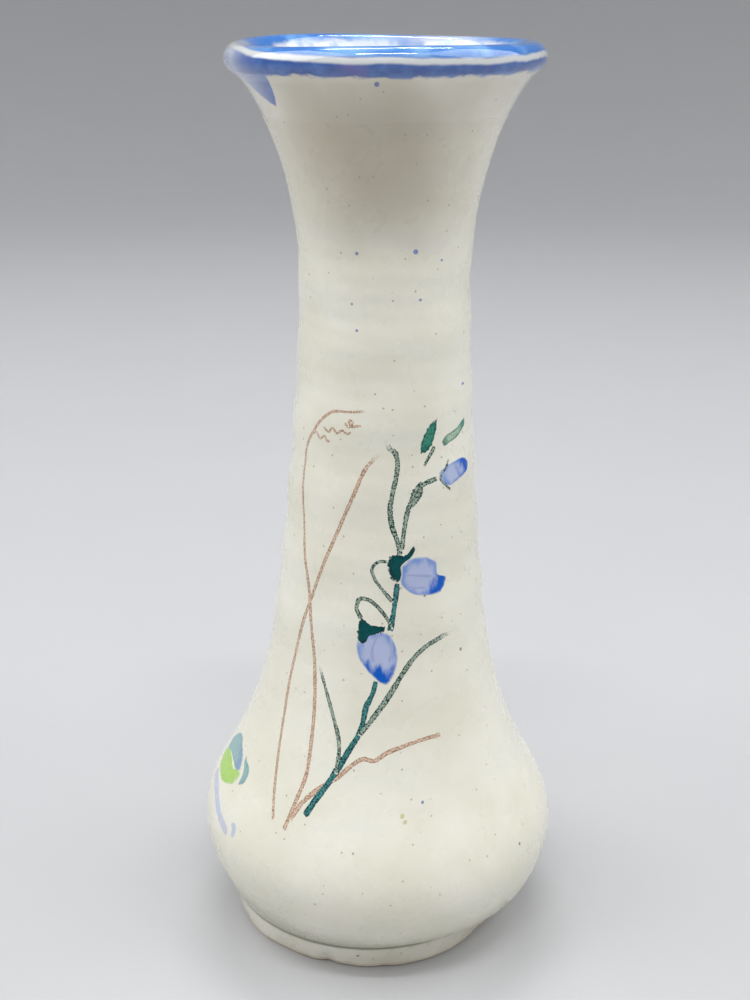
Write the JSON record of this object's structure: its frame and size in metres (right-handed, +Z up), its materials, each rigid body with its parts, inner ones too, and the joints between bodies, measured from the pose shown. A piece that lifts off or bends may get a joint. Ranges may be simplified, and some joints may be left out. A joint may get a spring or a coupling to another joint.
{
  "type": "ceramic bud vase",
  "caption": "Hand-thrown glazed bud vase: round belly on a foot ring, slender neck, flared rounded lip with a coloured band, painted flower sprig",
  "frame": {"origin": "centre of the foot ring on the surface that the vase stands on", "axes": "+Z up along the turning axis, -Y towards the side with the painted flower sprig"},
  "size_m": [0.074, 0.074, 0.18],
  "materials": {
    "bare_clay": "unglazed, matte",
    "cream_glaze": "glossy",
    "blue_glaze": "glossy, brushed band",
    "brown_pencil": "fired pencil line, glossy",
    "green_pencil": "fired pencil line, glossy",
    "teal_colour": "brushed colour, glossy",
    "blue_colour": "brushed colour, glossy",
    "violet_colour": "thin brushed wash, glossy",
    "lime_colour": "brushed colour, glossy"
  },
  "bodies": {
    "root": {"clay_body": "bare_clay", "foot_ring": "bare_clay", "outer_glaze": "cream_glaze", "liner_glaze": "cream_glaze", "rim_glaze": "blue_glaze", "brown_grass": "brown_pencil", "green_stems": "green_pencil", "teal_calyxes": "teal_colour", "blue_petals": "blue_colour", "violet_strokes": "violet_colour", "lime_leaf": "lime_colour"}
  },
  "joints": []
}
